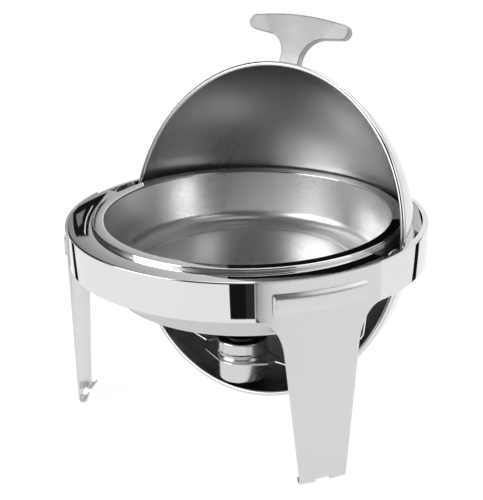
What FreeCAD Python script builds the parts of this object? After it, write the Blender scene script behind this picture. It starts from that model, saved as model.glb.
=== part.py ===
"""Roll top chafer: a round buffet food warmer with a domed lid that rolls back under the pans.

Units are millimetres. +Z is up, the feet stand on z = 0 and the ring's axis is the Z axis.
The lid turns about an axis along X, its handle is at the front (-Y) when it is closed, and
the model shows it rolled right back on its open stop.
"""

import FreeCAD, Part
import math
import os

# Ring and deck
RING_RADIUS = 226.0
RING_TOP = 259.0
RING_HEIGHT = 49.0
RING_SHEET = 1.2
RING_LIP = 8.0
DECK_HOLE_RADIUS = 185.0
DECK_COLLAR = 9.0
SLOT_INNER_RADIUS = 196.8
SLOT_OUTER_RADIUS = 219.0
SLOT_START = -6.0
SLOT_SWEEP = 192.0
HOOP_RADIUS = 196.0
HOOP_HEIGHT = 22.0
HOOP_FLANGE = 6.0

# Legs
LEG_AZIMUTHS = {"leg_front_right": 330.0, "leg_front_left": 210.0, "leg_back": 90.0}
LEG_SHEET = 2.2
LEG_PLATE_HALF = 79.0
LEG_PLATE_BOTTOM = 212.0
LEG_SHOULDER_HALF = 46.6
LEG_SHOULDER_Z = 168.0
LEG_FOOT_HALF = 29.8
LEG_NOTCH_HALF = 10.2
FOOT_WIDTH = 11.2
FOOT_HEIGHT = 5.6
FOOT_BEND = 4.4
PANEL_HALF = 58.5
PANEL_LOW = 219.6
PANEL_HIGH = 244.2
PANEL_RAISE = 2.4
PANEL_BEVEL = 2.0
STUD_RADIUS = 3.0
STUD_ARC = 69.0
STUD_Z = 233.0
STUD_INNER_RADIUS = 218.6
STUD_GAP = 0.03
NUT_WIDTH = 10.0
NUT_THICKNESS = 5.0

# Lid: a spherical cap whose rim lies LID_RISE above the pivot when it is closed
PIVOT_Z = 241.5
LID_OPEN_ANGLE = 105.5
LID_RISE = 25.0
LID_RIM_RADIUS = 213.8
LID_DEPTH = 174.5
LID_SHEET = 0.9
BEAD_RADIUS = 3.1
BEAD_RING_RADIUS = 210.5
SPHERE_RADIUS = (LID_RIM_RADIUS**2 + LID_DEPTH**2) / (2 * LID_DEPTH)
SPHERE_DROP = SPHERE_RADIUS - LID_DEPTH - LID_RISE

# Lid pivots
ARM_SHEET = 2.0
ARM_INNER_X = 215.2
ARM_DISC_RADIUS = 19.0
ARM_HALF_WIDTH = 13.0
ARM_TOP = 66.0
RIVET_HEIGHTS = (40.0, 56.0)
RIVET_RADIUS = 2.2
RIVET_HEAD_RADIUS = 4.2
RIVET_HEAD = 1.1
SCREW_RADIUS = 4.0
SCREW_HEAD_RADIUS = 7.0
SCREW_HEAD = 3.0
BUSH_RADIUS = 6.0
BUSH_CLEARANCE = 0.05
BRACKET_INNER_X = 220.0
BRACKET_HALF_WIDTH = 30.0
BRACKET_LOW = 220.0
BRACKET_EDGE = 1.4
SPACER_RADIUS = 8.0
AXIAL_GAP = 0.2
STOP_RADIUS = 2.0
STOP_SLOT_HALF_WIDTH = 2.4
STOP_CIRCLE = 12.5
STOP_ANGLE = 217.25

# Handle
HANDLE_BACK = 12.0
HANDLE_LEAN = 10.5
HANDLE_TOP = 64.3
HANDLE_HALF_THICKNESS = 5.3
HANDLE_NECK_HALF = 15.0
HANDLE_ROUNDING = 1.6
GASKET = 0.8
GASKET_MARGIN = 1.2
HANDLE_SCREW_SPACING = 18.0
HANDLE_SCREW_RADIUS = 2.4
HANDLE_SCREW_HEAD_RADIUS = 4.6
HANDLE_SCREW_HEAD = 3.4
HANDLE_SCREW_DEPTH = 14.0

# Pans
PAN_SHEET = 1.0
FLANGE_RADIUS = 196.0
FLANGE_EDGE = 2.3
WATER_MOUTH = 183.7
WATER_CORNER_RADIUS_AT = 173.4
WATER_BOTTOM = 167.2
WATER_CORNER = 14.0
FOOD_FLANGE_RADIUS = 195.4
FOOD_MOUTH = 181.2
FOOD_CORNER_RADIUS_AT = 171.6
FOOD_BOTTOM = 193.2
FOOD_CORNER = 18.0
FOOD_STEP_RADIUS = 138.0
FOOD_STEP = 1.2

# Burner
CUP_CENTRE = FreeCAD.Vector(-7.5, -6.0, 0.0)
CUP_BOTTOM = 39.5
CUP_TOP = 95.0
CUP_RADIUS = 32.3
CUP_SHEET = 1.0
WIRE_RADIUS = 1.5
WIRE_LOOP_RADIUS = 34.3
WIRE_Z = 68.8
LOOP_LEFT_X = -72.0
LOOP_RIGHT_X = 41.0
ARM_LEFT_X = -100.0
ARM_RIGHT_X = 102.0
ARM_LEFT_RISE = 7.0
WIRE_BEND = 14.0
WIRE_SHOULDER_X = 176.0
WIRE_SHOULDER_Z = 140.0
WIRE_HOOK_BEND = 5.0
WIRE_HOOK_X = 188.0
WIRE_HOOK_Z = 243.0
WIRE_END_X = 198.0
CAN_RADIUS = 29.7
CAN_SHEET = 0.8
CAN_GAP = 0.3
CAN_TOP = 93.4
CAN_NECK_RADIUS = 22.0
CAN_NECK_TOP = 98.3

UP = FreeCAD.Vector(0, 0, 1)
SIDEWAYS = FreeCAD.Vector(1, 0, 0)
ORIGIN = FreeCAD.Vector(0, 0, 0)
PIVOT = FreeCAD.Vector(0, 0, PIVOT_Z)
SPHERE_CENTRE = FreeCAD.Vector(0, 0, PIVOT_Z - SPHERE_DROP)


def corner_arc(before, corner, after, radius):
    """The arc's start, middle and end that round one corner of a path."""
    back = (before - corner).normalize()
    ahead = (after - corner).normalize()
    half_angle = back.getAngle(ahead) / 2
    reach = radius / math.tan(half_angle)
    bisector = (back + ahead).normalize()
    centre = corner + bisector * (radius / math.sin(half_angle))
    return corner + back * reach, centre - bisector * radius, corner + ahead * reach


def rounded_path(corners, closed):
    """A wire through (point, radius) corners, with a tangent arc at each corner that has a radius."""
    count = len(corners)
    stops = []
    for index, (point, radius) in enumerate(corners):
        at_end = not closed and index in (0, count - 1)
        if radius == 0 or at_end:
            stops.append((point, None, point))
        else:
            before = corners[index - 1][0]
            after = corners[(index + 1) % count][0]
            stops.append(corner_arc(before, point, after, radius))
    edges = []
    for index, (start, middle, end) in enumerate(stops):
        if middle is not None:
            edges.append(Part.Arc(start, middle, end).toShape())
        last = index == count - 1
        if last and not closed:
            break
        following = stops[(index + 1) % count][0]
        if (following - end).Length > 1e-6:
            edges.append(Part.LineSegment(end, following).toShape())
    return Part.Wire(edges)


def turned(section):
    """A solid of revolution about Z from (radius, height, corner radius) points."""
    corners = [(FreeCAD.Vector(r, 0, z), fillet) for r, z, fillet in section]
    face = Part.Face(rounded_path(corners, closed=True))
    return face.revolve(ORIGIN, UP, 360)


def ring_segment(inner, outer, low, high, start, sweep):
    """A block bounded by two cylinders about Z, two heights and two azimuths."""
    points = [(inner, low), (outer, low), (outer, high), (inner, high), (inner, low)]
    face = Part.Face(Part.makePolygon([FreeCAD.Vector(r, 0, z) for r, z in points]))
    block = face.revolve(ORIGIN, UP, sweep)
    block.rotate(ORIGIN, UP, start)
    return block


def offset_sheet(points, thickness):
    """Closed section of a bent sheet: the outer path, then the same path moved in by the thickness.

    Each point is (radius, height, bend radius); the sheet lies to the left of the path's direction.
    """
    flat = [FreeCAD.Vector(r, 0, z) for r, z, bend in points]
    normals = []
    for start, end in zip(flat, flat[1:]):
        along = (end - start).normalize()
        normals.append(FreeCAD.Vector(-along.z, 0, along.x))
    inner = []
    for index, point in enumerate(flat):
        first = normals[max(index - 1, 0)]
        second = normals[min(index, len(normals) - 1)]
        mitre = (first + second).normalize()
        inner.append(point + mitre * (thickness / mitre.dot(first)))
    section = list(points)
    for index in range(len(flat) - 1, -1, -1):
        bend = points[index][2]
        turn = 0.0
        if 0 < index < len(flat) - 1:
            turn = normals[index - 1].cross(normals[index]).y
        inner_bend = 0.0
        if bend > 0:
            inner_bend = max(bend - thickness, 0.1) if turn < 0 else bend + thickness
        section.append((inner[index].x, inner[index].z, inner_bend))
    return section


def on_azimuth(shape, azimuth):
    """Turns a shape made at azimuth 0, along +X, to its place round the ring."""
    turned_shape = shape.copy()
    turned_shape.rotate(ORIGIN, UP, azimuth)
    return turned_shape


def rolled_back(shape):
    """Takes a lid piece from its closed place to the open stop."""
    moved = shape.copy()
    moved.rotate(PIVOT, SIDEWAYS, -LID_OPEN_ANGLE)
    return moved


def mirrored_x(shape):
    return shape.mirror(ORIGIN, SIDEWAYS)


def rod(start, direction, radius, length):
    return Part.makeCylinder(radius, length, start, direction)


def stud_azimuths():
    """Offsets from a leg's own azimuth at which its studs stand, in degrees."""
    reach = math.degrees(STUD_ARC / RING_RADIUS)
    return (-reach, reach)


def stud_holes():
    holes = []
    for azimuth in LEG_AZIMUTHS.values():
        for offset in stud_azimuths():
            hole = rod(FreeCAD.Vector(STUD_INNER_RADIUS, 0, STUD_Z), SIDEWAYS, STUD_RADIUS + 0.2, 12)
            holes.append(on_azimuth(hole, azimuth + offset))
    return Part.Compound(holes)


def stand_ring():
    """Polished band with a rolled lower lip and a flat deck; a crescent slot lets the lid through."""
    bottom = RING_TOP - RING_HEIGHT
    path = [
        (RING_RADIUS - RING_LIP, bottom, 0),
        (RING_RADIUS, bottom, 2.5),
        (RING_RADIUS, RING_TOP, 2.2),
        (DECK_HOLE_RADIUS, RING_TOP, 2.2),
        (DECK_HOLE_RADIUS, RING_TOP - DECK_COLLAR, 0),
    ]
    ring = turned(offset_sheet(path, RING_SHEET))
    slot = ring_segment(
        SLOT_INNER_RADIUS, SLOT_OUTER_RADIUS, RING_TOP - 4, RING_TOP + 4, SLOT_START, SLOT_SWEEP
    )
    return ring.cut(slot).cut(stud_holes())


def pan_hoop():
    """Hoop welded under the deck: it stiffens the inner edge of the slot and holds the cradle."""
    under_deck = RING_TOP - RING_SHEET
    path = [
        (HOOP_RADIUS, under_deck - HOOP_HEIGHT, 0),
        (HOOP_RADIUS, under_deck, 2.0),
        (HOOP_RADIUS - HOOP_FLANGE, under_deck, 0),
    ]
    hoop = turned(offset_sheet(path, RING_SHEET))
    hook_hole = rod(FreeCAD.Vector(HOOP_RADIUS - 8, 0, WIRE_HOOK_Z), SIDEWAYS, WIRE_RADIUS + 0.1, 12)
    return hoop.cut(hook_hole).cut(mirrored_x(hook_hole))


def leg_outline():
    """Flat outline of the leg seen from outside: wide plate, concave shoulders, tapered shank."""

    def point(arc_length, height):
        chord = RING_RADIUS * math.sin(arc_length / RING_RADIUS)
        return FreeCAD.Vector(0, chord, height)

    top = RING_TOP + 0.6
    edges = []
    corners = []
    for side in (-1, 1):
        foot = point(side * LEG_FOOT_HALF, FOOT_HEIGHT)
        shoulder = point(side * LEG_SHOULDER_HALF, LEG_SHOULDER_Z)
        plate_low = point(side * LEG_PLATE_HALF, LEG_PLATE_BOTTOM)
        plate_high = point(side * LEG_PLATE_HALF, top)
        pull_up = shoulder + (shoulder - foot).normalize() * 25
        pull_in = plate_low - FreeCAD.Vector(0, side * 18, 0)
        curve = Part.BezierCurve()
        curve.setPoles([shoulder, pull_up, pull_in, plate_low])
        edges.append(Part.LineSegment(foot, shoulder).toShape())
        edges.append(curve.toShape())
        edges.append(Part.LineSegment(plate_low, plate_high).toShape())
        corners.append((foot, plate_high))
    edges.append(Part.LineSegment(corners[0][0], corners[1][0]).toShape())
    edges.append(Part.LineSegment(corners[0][1], corners[1][1]).toShape())
    return Part.Face(Part.Wire(Part.__sortEdges__(edges)))


def leg_panel(inner, outer, inset):
    """The raised panel of a leg plate as a block, or the hollow behind it when inset."""
    half = math.degrees((PANEL_HALF - inset) / RING_RADIUS)
    return ring_segment(inner, outer, PANEL_LOW + inset, PANEL_HIGH - inset, -half, 2 * half)


def leg(azimuth):
    """Pressed leg: it follows the ring's curve and ends in two curled feet."""
    outer = RING_RADIUS + LEG_SHEET
    reach = math.degrees(LEG_PLATE_HALF / RING_RADIUS) + 2
    shell = ring_segment(RING_RADIUS, outer, 0, RING_TOP + 0.6, -reach, 2 * reach)
    prism = leg_outline().extrude(FreeCAD.Vector(RING_RADIUS + 20, 0, 0))
    plate = shell.common(prism)
    panel = leg_panel(RING_RADIUS + 0.5, outer + PANEL_RAISE, 0)
    face_edges = [edge for edge in panel.Edges if edge_on_cylinder(edge, outer + PANEL_RAISE)]
    panel = panel.makeChamfer(PANEL_BEVEL, face_edges)
    plate = plate.fuse(panel).cut(leg_panel(RING_RADIUS - 1, RING_RADIUS + PANEL_RAISE, 3.5))
    curl_section = foot_curl_section(outer)
    first = math.degrees(LEG_NOTCH_HALF / RING_RADIUS)
    last = math.degrees(LEG_FOOT_HALF / RING_RADIUS)
    for start in (first, -last):
        curl = curl_section.revolve(ORIGIN, UP, last - first)
        curl.rotate(ORIGIN, UP, start)
        plate = plate.fuse(curl)
    return on_azimuth(plate.removeSplitter(), azimuth)


def edge_on_cylinder(edge, radius):
    """True if both ends and the middle of an edge lie on a cylinder about Z."""
    first, last = edge.ParameterRange
    samples = [edge.valueAt(first), edge.valueAt((first + last) / 2), edge.valueAt(last)]
    return all(abs(math.hypot(p.x, p.y) - radius) < 1e-4 for p in samples)


def foot_curl_section(outer):
    """Section of a foot: the sheet turns under, runs flat on the floor and turns up on the inside."""
    inner_side = outer - FOOT_WIDTH
    path = [
        (inner_side, FOOT_HEIGHT, 0),
        (inner_side, 0, FOOT_BEND),
        (outer, 0, FOOT_BEND),
        (outer, FOOT_HEIGHT, 0),
    ]
    section = offset_sheet(path, LEG_SHEET)
    corners = [(FreeCAD.Vector(r, 0, z), bend) for r, z, bend in section]
    return Part.Face(rounded_path(corners, closed=True))


def leg_studs():
    """Studs welded to the back of each leg plate, through the ring."""
    studs = []
    for azimuth in LEG_AZIMUTHS.values():
        for offset in stud_azimuths():
            length = RING_RADIUS - STUD_INNER_RADIUS - STUD_GAP
            stud = rod(FreeCAD.Vector(STUD_INNER_RADIUS, 0, STUD_Z), SIDEWAYS, STUD_RADIUS, length)
            studs.append(on_azimuth(stud, azimuth + offset))
    return Part.Compound(studs)


def leg_nuts():
    """Hexagon nuts on the studs, inside the ring."""
    nuts = []
    wall_inside = RING_RADIUS - RING_SHEET - 0.15
    corner = NUT_WIDTH / math.sqrt(3)
    for azimuth in LEG_AZIMUTHS.values():
        for offset in stud_azimuths():
            points = []
            for step in range(7):
                angle = math.radians(60 * step)
                points.append(
                    FreeCAD.Vector(
                        wall_inside - NUT_THICKNESS,
                        corner * math.cos(angle),
                        STUD_Z + corner * math.sin(angle),
                    )
                )
            nut = Part.Face(Part.makePolygon(points)).extrude(SIDEWAYS * NUT_THICKNESS)
            bore = rod(FreeCAD.Vector(STUD_INNER_RADIUS - 5, 0, STUD_Z), SIDEWAYS, STUD_RADIUS, 20)
            nuts.append(on_azimuth(nut.cut(bore), azimuth + offset))
    return Part.Compound(nuts)


def stop_pin_place(x):
    angle = math.radians(STOP_ANGLE)
    return FreeCAD.Vector(x, STOP_CIRCLE * math.cos(angle), PIVOT_Z + STOP_CIRCLE * math.sin(angle))


def pivot_bracket():
    """Bearing plate inside the ring wall, flat towards the lid's arm."""
    wall_inside = RING_RADIUS - RING_SHEET
    top = RING_TOP - RING_SHEET
    drum = Part.makeCylinder(wall_inside, top - BRACKET_LOW, FreeCAD.Vector(0, 0, BRACKET_LOW))
    top_edges = [edge for edge in drum.Edges if edge.BoundBox.ZMin > top - 1]
    drum = drum.makeFillet(BRACKET_EDGE, top_edges)
    corner = FreeCAD.Vector(BRACKET_INNER_X, -BRACKET_HALF_WIDTH, BRACKET_LOW)
    block = Part.makeBox(20, 2 * BRACKET_HALF_WIDTH, top - BRACKET_LOW, corner)
    plate = drum.common(block)
    plate = plate.cut(rod(FreeCAD.Vector(ARM_INNER_X, 0, PIVOT_Z), SIDEWAYS, SCREW_RADIUS, 8.8))
    return plate.cut(rod(stop_pin_place(ARM_INNER_X), SIDEWAYS, STOP_RADIUS, 7.3))


def pivot_screw():
    """Shoulder screw that carries one side of the lid."""
    head_start = ARM_INNER_X - AXIAL_GAP - SCREW_HEAD
    head = rod(FreeCAD.Vector(head_start, 0, PIVOT_Z), SIDEWAYS, SCREW_HEAD_RADIUS, SCREW_HEAD)
    slot_corner = FreeCAD.Vector(head_start - 1, -0.7, PIVOT_Z - SCREW_HEAD_RADIUS)
    slot = Part.makeBox(2.2, 1.4, 2 * SCREW_HEAD_RADIUS, slot_corner)
    shank_start = head_start + SCREW_HEAD
    shank_length = ARM_INNER_X + 8.8 - shank_start
    shank = rod(FreeCAD.Vector(shank_start, 0, PIVOT_Z), SIDEWAYS, SCREW_RADIUS, shank_length)
    return head.cut(slot).fuse(shank).removeSplitter()


def tube_along_x(start_x, end_x, outer, inner):
    start = FreeCAD.Vector(start_x, 0, PIVOT_Z)
    length = end_x - start_x
    return rod(start, SIDEWAYS, outer, length).cut(rod(start, SIDEWAYS, inner, length))


def pivot_spacers():
    """Spacer between each bracket and arm, on the pivot screw."""
    start = ARM_INNER_X + ARM_SHEET + 2 * AXIAL_GAP
    spacer = tube_along_x(start, BRACKET_INNER_X, SPACER_RADIUS, SCREW_RADIUS)
    return Part.Compound([spacer, mirrored_x(spacer)])


def stop_pins():
    """Pins in the brackets; each runs in an arm's curved slot and ends the lid's travel."""
    start = ARM_INNER_X - AXIAL_GAP
    pin = rod(stop_pin_place(start), SIDEWAYS, STOP_RADIUS, 7.3 + AXIAL_GAP)
    return Part.Compound([pin, mirrored_x(pin)])


def closed_rivets():
    """Rivets that join the right-hand arm to the dome, along the dome's normals."""
    rivets = []
    for height in RIVET_HEIGHTS:
        lean = math.asin((height + SPHERE_DROP) / SPHERE_RADIUS)
        direction = FreeCAD.Vector(math.cos(lean), 0, math.sin(lean))
        inner_face = SPHERE_RADIUS - LID_SHEET
        outer_face = SPHERE_RADIUS + ARM_SHEET
        grip = outer_face - inner_face
        parts = [
            (inner_face - RIVET_HEAD, RIVET_HEAD_RADIUS, RIVET_HEAD),
            (inner_face, RIVET_RADIUS, grip),
            (outer_face, RIVET_HEAD_RADIUS, RIVET_HEAD),
        ]
        solids = [rod(SPHERE_CENTRE + direction * at, direction, r, length) for at, r, length in parts]
        rivets.append(solids[0].fuse(solids[1:]).removeSplitter())
    return rivets


def cap_shell(inner, outer, low):
    """Part of a spherical shell about the dome's centre, above a height over the pivot."""
    shell = Part.makeSphere(outer, SPHERE_CENTRE).cut(Part.makeSphere(inner, SPHERE_CENTRE))
    keep = Part.makeBox(600, 600, 400, FreeCAD.Vector(-300, -300, PIVOT_Z + low))
    return shell.common(keep)


def closed_arm():
    """Right-hand arm: a riveted strap on the dome that ends in a bearing disc with a stop slot."""
    strap = cap_shell(SPHERE_RADIUS, SPHERE_RADIUS + ARM_SHEET, 15.0)
    low = FreeCAD.Vector(150, -ARM_HALF_WIDTH, PIVOT_Z)
    strap = strap.common(Part.makeBox(100, 2 * ARM_HALF_WIDTH, ARM_TOP, low))
    disc = rod(FreeCAD.Vector(ARM_INNER_X, 0, PIVOT_Z), SIDEWAYS, ARM_DISC_RADIUS, ARM_SHEET)
    neck_corner = FreeCAD.Vector(ARM_INNER_X, -ARM_HALF_WIDTH, PIVOT_Z)
    neck = Part.makeBox(ARM_SHEET, 2 * ARM_HALF_WIDTH, 27.0, neck_corner)
    arm = strap.fuse([disc, neck]).removeSplitter()
    arm = arm.cut(rod(FreeCAD.Vector(ARM_INNER_X - 5, 0, PIVOT_Z), SIDEWAYS, BUSH_RADIUS, 12))
    return arm.cut([stop_slot()] + closed_rivets())


def stop_slot():
    """Curved slot round the pivot, as long as the lid's travel."""
    x = ARM_INNER_X - 2
    points = []
    for sweep in (0, LID_OPEN_ANGLE / 2, LID_OPEN_ANGLE):
        for radius in (STOP_CIRCLE - STOP_SLOT_HALF_WIDTH, STOP_CIRCLE + STOP_SLOT_HALF_WIDTH):
            angle = math.radians(STOP_ANGLE + sweep)
            points.append(
                FreeCAD.Vector(x, radius * math.cos(angle), PIVOT_Z + radius * math.sin(angle))
            )
    start_in, start_out, middle_in, middle_out, end_in, end_out = points
    edges = [
        Part.Arc(start_in, middle_in, end_in).toShape(),
        Part.Arc(start_out, middle_out, end_out).toShape(),
        Part.LineSegment(start_in, start_out).toShape(),
        Part.LineSegment(end_in, end_out).toShape(),
    ]
    body = Part.Face(Part.Wire(Part.__sortEdges__(edges))).extrude(SIDEWAYS * 8)
    ends = []
    for sweep in (0, LID_OPEN_ANGLE):
        angle = math.radians(STOP_ANGLE + sweep)
        centre = FreeCAD.Vector(
            x, STOP_CIRCLE * math.cos(angle), PIVOT_Z + STOP_CIRCLE * math.sin(angle)
        )
        ends.append(rod(centre, SIDEWAYS, STOP_SLOT_HALF_WIDTH, 8))
    return body.fuse(ends)


def closed_bead():
    """Rolled edge of the lid: a round bead."""
    centre = FreeCAD.Vector(0, 0, PIVOT_Z + LID_RISE)
    return Part.makeTorus(BEAD_RING_RADIUS, BEAD_RADIUS, centre, UP)


def handle_frame():
    """Base point on the closed dome's front, and the direction in which the handle stands out."""
    height = LID_RISE + HANDLE_BACK + SPHERE_DROP
    out = math.sqrt(SPHERE_RADIUS**2 - height**2)
    base = SPHERE_CENTRE + FreeCAD.Vector(0, -out, height)
    lean = math.radians(HANDLE_LEAN)
    return base, FreeCAD.Vector(0, -math.cos(lean), math.sin(lean))


def closed_handle_blank():
    """Flat T: a gently crowned bar on a waisted neck, extruded to the casting's thickness."""
    base, outward = handle_frame()
    across = SIDEWAYS.cross(outward)

    def place(x, height):
        return base + SIDEWAYS * x + outward * height

    neck = HANDLE_NECK_HALF
    edges = [Part.Arc(place(-66, 58.8), place(0, HANDLE_TOP), place(66, 58.8)).toShape()]
    for side in (-1, 1):
        tip = Part.Arc(place(side * 66, 58.8), place(side * 76.5, 49.5), place(side * 69, 40))
        fillet = Part.Arc(place(side * 44, 37.4), place(side * 24, 29), place(side * neck, 12))
        edges.append(tip.toShape())
        edges.append(Part.LineSegment(place(side * 69, 40), place(side * 44, 37.4)).toShape())
        edges.append(fillet.toShape())
        edges.append(Part.LineSegment(place(side * neck, 12), place(side * neck, -6)).toShape())
    edges.append(Part.LineSegment(place(-neck, -6), place(neck, -6)).toShape())
    face = Part.Face(Part.Wire(Part.__sortEdges__(edges)))
    face.translate(across * -HANDLE_HALF_THICKNESS)
    blank = face.extrude(across * (2 * HANDLE_HALF_THICKNESS))
    return blank.makeFillet(HANDLE_ROUNDING, blank.Edges)


def closed_handle():
    sphere = Part.makeSphere(SPHERE_RADIUS + GASKET, SPHERE_CENTRE)
    return closed_handle_blank().cut([sphere] + closed_handle_screws())


def closed_gasket():
    """Thin pad between the handle's foot and the dome."""
    base, outward = handle_frame()
    across = SIDEWAYS.cross(outward)
    half_x = HANDLE_NECK_HALF + GASKET_MARGIN
    half_y = HANDLE_HALF_THICKNESS + GASKET_MARGIN
    corners = []
    for x, y in ((-1, -1), (1, -1), (1, 1), (-1, 1), (-1, -1)):
        corners.append(base + SIDEWAYS * (x * half_x) + across * (y * half_y) - outward * 10)
    prism = Part.Face(Part.makePolygon(corners)).extrude(outward * 20)
    shell = cap_shell(SPHERE_RADIUS, SPHERE_RADIUS + GASKET, 0.0)
    return shell.common(prism).cut(closed_handle_screws())


def closed_handle_screws():
    """Two screws from inside the dome into the handle's neck."""
    base, outward = handle_frame()
    screws = []
    for side in (-1, 1):
        foot = base + SIDEWAYS * (side * HANDLE_SCREW_SPACING / 2)
        seat = foot - outward * (LID_SHEET + 0.5)
        shank = rod(seat, outward, HANDLE_SCREW_RADIUS, HANDLE_SCREW_DEPTH + LID_SHEET)
        start = seat - outward * HANDLE_SCREW_HEAD
        head = rod(start, outward, HANDLE_SCREW_HEAD_RADIUS, HANDLE_SCREW_HEAD)
        screws.append(head.fuse(shank).removeSplitter())
    return screws


def closed_dome():
    """The lid's skin: a spherical cap, cut for its bead, rivets and screws."""
    skin = cap_shell(SPHERE_RADIUS - LID_SHEET, SPHERE_RADIUS, LID_RISE + 1.8)
    rivets = closed_rivets()
    rivets += [mirrored_x(rivet) for rivet in rivets]
    return skin.cut([closed_bead()] + rivets + closed_handle_screws())


def pan(mouth, corner_radius_at, bottom, corner, flange_radius, seat, step_radius, step):
    """A pressed pan: hemmed flange, drafted wall, round corner and a flat floor."""
    top = seat + FLANGE_EDGE
    path = [
        (flange_radius, seat, 0),
        (flange_radius, top, 0.9),
        (mouth, top, 2.4),
        (corner_radius_at, bottom, corner),
    ]
    if step > 0:
        path += [(step_radius + step, bottom, 0), (step_radius, bottom - step, 0)]
    floor = path[-1][1]
    section = offset_sheet_down(path + [(0, floor, 0)])
    return turned(section)


def offset_sheet_down(path):
    """Section of a pan sheet from its upper face: the flange's hem, wall and floor are PAN_SHEET thick."""
    reversed_path = list(reversed(path))
    return offset_sheet(reversed_path, -PAN_SHEET)


def water_pan():
    return pan(
        WATER_MOUTH - PAN_SHEET,
        WATER_CORNER_RADIUS_AT - PAN_SHEET,
        WATER_BOTTOM + PAN_SHEET,
        WATER_CORNER - PAN_SHEET,
        FLANGE_RADIUS,
        RING_TOP,
        0,
        0,
    )


def food_pan():
    return pan(
        FOOD_MOUTH - PAN_SHEET,
        FOOD_CORNER_RADIUS_AT - PAN_SHEET,
        FOOD_BOTTOM + PAN_SHEET,
        FOOD_CORNER,
        FOOD_FLANGE_RADIUS,
        RING_TOP + FLANGE_EDGE,
        FOOD_STEP_RADIUS,
        FOOD_STEP,
    )


def wire_along(path):
    """A round wire swept along a path of straight runs and tangent arcs."""
    first = path.Edges[0]
    start = first.valueAt(first.FirstParameter)
    direction = first.tangentAt(first.FirstParameter)
    if (start - path.OrderedVertexes[0].Point).Length > 1e-6:
        start = first.valueAt(first.LastParameter)
        direction = first.tangentAt(first.LastParameter) * -1
    ring = Part.Wire(Part.makeCircle(WIRE_RADIUS, start, direction))
    return path.makePipeShell([ring], True, False)


def tangent_point(outside, side):
    """Where a line from a point outside touches the wire's loop round the cup; side is -1 or 1."""
    centre = CUP_CENTRE + FreeCAD.Vector(0, 0, WIRE_Z)
    away = outside - centre
    opening = math.acos(WIRE_LOOP_RADIUS / away.Length)
    angle = math.atan2(away.y, away.x) + side * opening
    return centre + FreeCAD.Vector(math.cos(angle), math.sin(angle), 0) * WIRE_LOOP_RADIUS


def loop_half(side):
    """One half of the cradle's loop: straight, round the cup, straight; side -1 is the front."""
    left = FreeCAD.Vector(LOOP_LEFT_X, 0, WIRE_Z)
    right = FreeCAD.Vector(LOOP_RIGHT_X, 0, WIRE_Z)
    left_out = FreeCAD.Vector(LOOP_LEFT_X + 14, side * 21, WIRE_Z)
    right_out = FreeCAD.Vector(LOOP_RIGHT_X - 3, side * 12, WIRE_Z)
    touch_left = tangent_point(left_out, -side)
    touch_right = tangent_point(right_out, side)
    centre = CUP_CENTRE + FreeCAD.Vector(0, 0, WIRE_Z)
    middle = centre + FreeCAD.Vector(0, side * WIRE_LOOP_RADIUS, 0)
    leave_left, bend_left, join_left = corner_arc(left, left_out, touch_left, 9.0)
    join_right, bend_right, leave_right = corner_arc(touch_right, right_out, right, 5.0)
    edges = [
        Part.LineSegment(left, leave_left).toShape(),
        Part.Arc(leave_left, bend_left, join_left).toShape(),
        Part.LineSegment(join_left, touch_left).toShape(),
        Part.Arc(touch_left, middle, touch_right).toShape(),
        Part.LineSegment(touch_right, join_right).toShape(),
        Part.Arc(join_right, bend_right, leave_right).toShape(),
        Part.LineSegment(leave_right, right).toShape(),
    ]
    return wire_along(Part.Wire(edges))


def cradle_arm(side, apex_x, bend_x, rise):
    """An arm from the loop's end, out under the pan, up round its corner and into the hoop."""
    corners = [
        (FreeCAD.Vector(apex_x, 0, WIRE_Z), 0),
        (FreeCAD.Vector(bend_x, 0, WIRE_Z + rise), WIRE_BEND),
        (FreeCAD.Vector(side * WIRE_SHOULDER_X, 0, WIRE_SHOULDER_Z), WIRE_BEND),
        (FreeCAD.Vector(side * WIRE_HOOK_X, 0, WIRE_HOOK_Z), WIRE_HOOK_BEND),
        (FreeCAD.Vector(side * WIRE_END_X, 0, WIRE_HOOK_Z), 0),
    ]
    return wire_along(rounded_path(corners, closed=False))


def cradle_wire():
    """Bent and welded wire cradle: an eye-shaped loop with an arm at each end."""
    pieces = [
        loop_half(1),
        cradle_arm(-1, LOOP_LEFT_X, ARM_LEFT_X, ARM_LEFT_RISE),
        cradle_arm(1, LOOP_RIGHT_X, ARM_RIGHT_X, 0.0),
        Part.makeSphere(WIRE_RADIUS + 0.4, FreeCAD.Vector(LOOP_LEFT_X, 0, WIRE_Z)),
        Part.makeSphere(WIRE_RADIUS + 0.4, FreeCAD.Vector(LOOP_RIGHT_X, 0, WIRE_Z)),
    ]
    return loop_half(-1).fuse(pieces)


def burner_cup():
    """Deep cup for the fuel can; its lower bead rests on the cradle's loop."""
    path = [
        (0, CUP_BOTTOM, 0),
        (CUP_RADIUS, CUP_BOTTOM, 5.0),
        (CUP_RADIUS, 67.0, 0.8),
        (CUP_RADIUS - 1.1, 68.4, 0.5),
        (CUP_RADIUS + 1.7, 71.6, 1.2),
        (CUP_RADIUS - 0.6, 75.2, 0.8),
        (CUP_RADIUS + 1.0, 78.4, 1.2),
        (CUP_RADIUS, 81.0, 0.8),
        (CUP_RADIUS, CUP_TOP - 2.4, 0.8),
        (CUP_RADIUS + 0.8, CUP_TOP - 1.0, 0.4),
        (CUP_RADIUS + 0.2, CUP_TOP, 0),
    ]
    cup = turned(offset_sheet(path, CUP_SHEET))
    cup.translate(CUP_CENTRE)
    return cup


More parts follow.
